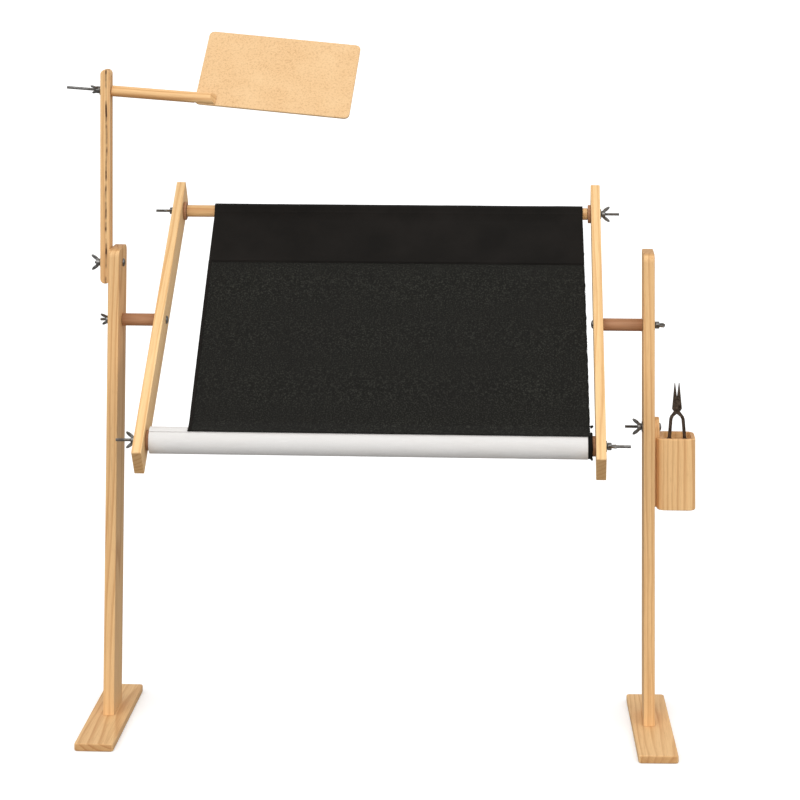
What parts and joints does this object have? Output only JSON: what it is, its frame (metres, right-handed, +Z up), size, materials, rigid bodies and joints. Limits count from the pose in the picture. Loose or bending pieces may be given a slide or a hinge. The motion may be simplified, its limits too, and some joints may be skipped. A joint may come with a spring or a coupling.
{
  "type": "tapestry frame stand",
  "caption": "Floor-standing wooden scroll frame for tapestry: two posts on flat feet, tilting frame with stretched cloth, chart holder and tool box.",
  "frame": {"origin": "on the floor, midway between the two posts, under the line the scroll frame turns about", "axes": "+Z up, +X to the sitter's right, +Y away from the sitter"},
  "size_m": [1.0205, 0.4946, 1.1097],
  "materials": {
    "pine": "smooth unvarnished pine",
    "pale_pine": "smooth unvarnished pale pine",
    "brown_pine": "smooth unvarnished darker wood",
    "hardboard": "matt tan fibreboard",
    "zinc": "zinc plated",
    "black_cloth": "matt evenweave",
    "white_cloth": "matt cotton",
    "blade_steel": "darkened steel"
  },
  "bodies": {
    "stand": {"left_foot": "pine", "right_foot": "pine", "left_post": "pine", "right_post": "pine", "left_foot_screw_front": "zinc", "left_foot_screw_rear": "zinc", "right_foot_screw_front": "zinc", "right_foot_screw_rear": "zinc", "left_spacer": "brown_pine", "right_spacer": "brown_pine", "left_pivot_washer": "zinc", "right_pivot_washer": "zinc"},
    "scroll_frame": {"left_arm": "pale_pine", "right_arm": "pale_pine", "left_pivot_bolt": "zinc", "right_pivot_bolt": "zinc", "cloth_panel": "black_cloth", "top_left_washer": "zinc", "top_right_washer": "zinc", "bottom_left_washer": "zinc", "bottom_right_washer": "zinc"},
    "top_scroll_bar": {"top_bar": "pine", "top_left_flange": "brown_pine", "top_right_flange": "brown_pine", "top_left_stud": "zinc", "top_right_stud": "zinc", "top_cloth_wrap": "black_cloth"},
    "bottom_scroll_bar": {"bottom_bar": "pine", "bottom_left_flange": "brown_pine", "bottom_right_flange": "brown_pine", "bottom_left_stud": "zinc", "bottom_right_stud": "zinc", "bottom_cloth_roll": "white_cloth", "roll_cloth_edge": "black_cloth"},
    "chart_clamp": {"chart_clamp_bolt": "zinc", "chart_clamp_washer": "zinc"},
    "chart_slat": {"chart_upright": "pine"},
    "chart_carrier": {"chart_arm_washer": "zinc"},
    "chart_holder": {"chart_arm": "pine", "chart_arm_rod": "zinc", "chart_board": "hardboard", "chart_board_screw_1": "zinc", "chart_board_screw_2": "zinc"},
    "tool_box_group": {"tool_box_plate": "pine", "tool_box": "pine", "tool_box_bolt": "zinc", "tool_box_washer": "zinc"},
    "scissors": {"scissors_front": "blade_steel", "scissors_screw": "blade_steel"},
    "scissors_half": {"scissors_back": "blade_steel"},
    "wing_nut_left_pivot": {"left_pivot_wing_nut": "zinc"},
    "wing_nut_right_pivot": {"right_pivot_wing_nut": "zinc"},
    "wing_nut_top_left": {"top_left_wing_nut": "zinc"},
    "wing_nut_top_right": {"top_right_wing_nut": "zinc"},
    "wing_nut_bottom_left": {"bottom_left_wing_nut": "zinc"},
    "wing_nut_bottom_right": {"bottom_right_wing_nut": "zinc"},
    "wing_nut_chart_clamp": {"chart_clamp_wing_nut": "zinc"},
    "wing_nut_chart_arm": {"chart_arm_wing_nut": "zinc"},
    "wing_nut_tool_box": {"tool_box_wing_nut": "zinc"}
  },
  "joints": [
    {"name": "frame_tilt", "type": "hinge", "parent": "stand", "child": "scroll_frame", "pos_m": [0, 0, 0.646], "axis": [1, 0, 0], "continuous": true},
    {"name": "bottom_bar_roll", "type": "hinge", "parent": "scroll_frame", "child": "bottom_scroll_bar", "pos_m": [0, -0.19675, 0.49503], "axis": [1, 0, 0], "range_deg": [-180, 180]},
    {"name": "top_bar_roll", "type": "hinge", "parent": "scroll_frame", "child": "top_scroll_bar", "pos_m": [0, 0.19675, 0.79697], "axis": [1, 0, 0], "range_deg": [-360, 360]},
    {"name": "chart_upright_swing", "type": "hinge", "parent": "stand", "child": "chart_clamp", "pos_m": [-0.436, 0, 0.739], "axis": [1, 0, 0], "range_deg": [-40, 75]},
    {"name": "chart_upright_slide", "type": "slide", "parent": "chart_clamp", "child": "chart_slat", "axis": [0, 0, -1], "range_m": [-0.006, 0.04]},
    {"name": "chart_arm_slide", "type": "slide", "parent": "chart_slat", "child": "chart_carrier", "axis": [0, 0, -1], "range_m": [-0.008, 0.18]},
    {"name": "chart_board_tilt", "type": "hinge", "parent": "chart_carrier", "child": "chart_holder", "pos_m": [-0.44521, 0, 1.0195], "axis": [0.9973, 0, -0.0732], "range_deg": [-46, 90]},
    {"name": "tool_box_swing", "type": "hinge", "parent": "stand", "child": "tool_box_group", "pos_m": [0.4445, 0, 0.482], "axis": [1, 0, 0], "range_deg": [-90, 90]},
    {"name": "scissors_lift", "type": "slide", "parent": "tool_box_group", "child": "scissors", "axis": [0, 0, 1], "range_m": [0, 0.12]},
    {"name": "scissors_open", "type": "hinge", "parent": "scissors", "child": "scissors_half", "pos_m": [0.48125, -0.006, 0.514], "axis": [0, 1, 0], "range_deg": [-9, 0]},
    {"name": "wing_nut_left_pivot_spin", "type": "hinge", "parent": "scroll_frame", "child": "wing_nut_left_pivot", "pos_m": [-0.44007, 0, 0.646], "axis": [1, 0, 0], "continuous": true},
    {"name": "wing_nut_right_pivot_spin", "type": "hinge", "parent": "scroll_frame", "child": "wing_nut_right_pivot", "pos_m": [0.4475, 0, 0.646], "axis": [1, 0, 0], "continuous": true},
    {"name": "wing_nut_top_left_spin", "type": "hinge", "parent": "top_scroll_bar", "child": "wing_nut_top_left", "pos_m": [-0.367, 0.19675, 0.79697], "axis": [1, 0, 0], "continuous": true},
    {"name": "wing_nut_top_right_spin", "type": "hinge", "parent": "top_scroll_bar", "child": "wing_nut_top_right", "pos_m": [0.367, 0.19675, 0.79697], "axis": [1, 0, 0], "continuous": true},
    {"name": "wing_nut_bottom_left_spin", "type": "hinge", "parent": "bottom_scroll_bar", "child": "wing_nut_bottom_left", "pos_m": [-0.367, -0.19675, 0.49503], "axis": [1, 0, 0], "continuous": true},
    {"name": "wing_nut_bottom_right_spin", "type": "hinge", "parent": "bottom_scroll_bar", "child": "wing_nut_bottom_right", "pos_m": [0.367, -0.19675, 0.49503], "axis": [1, 0, 0], "continuous": true},
    {"name": "wing_nut_chart_clamp_spin", "type": "hinge", "parent": "chart_clamp", "child": "wing_nut_chart_clamp", "pos_m": [-0.45771, 0, 0.739], "axis": [1, 0, 0], "continuous": true},
    {"name": "wing_nut_chart_arm_spin", "type": "hinge", "parent": "chart_holder", "child": "wing_nut_chart_arm", "pos_m": [-0.44521, 0, 1.0195], "axis": [0.9973, 0, -0.0732], "continuous": true},
    {"name": "wing_nut_tool_box_spin", "type": "hinge", "parent": "tool_box_group", "child": "wing_nut_tool_box", "pos_m": [0.42, 0, 0.482], "axis": [1, 0, 0], "continuous": true}
  ],
  "couplings": [
    {"joint": "top_bar_roll", "follows": "bottom_bar_roll", "ratio": 2}
  ]
}
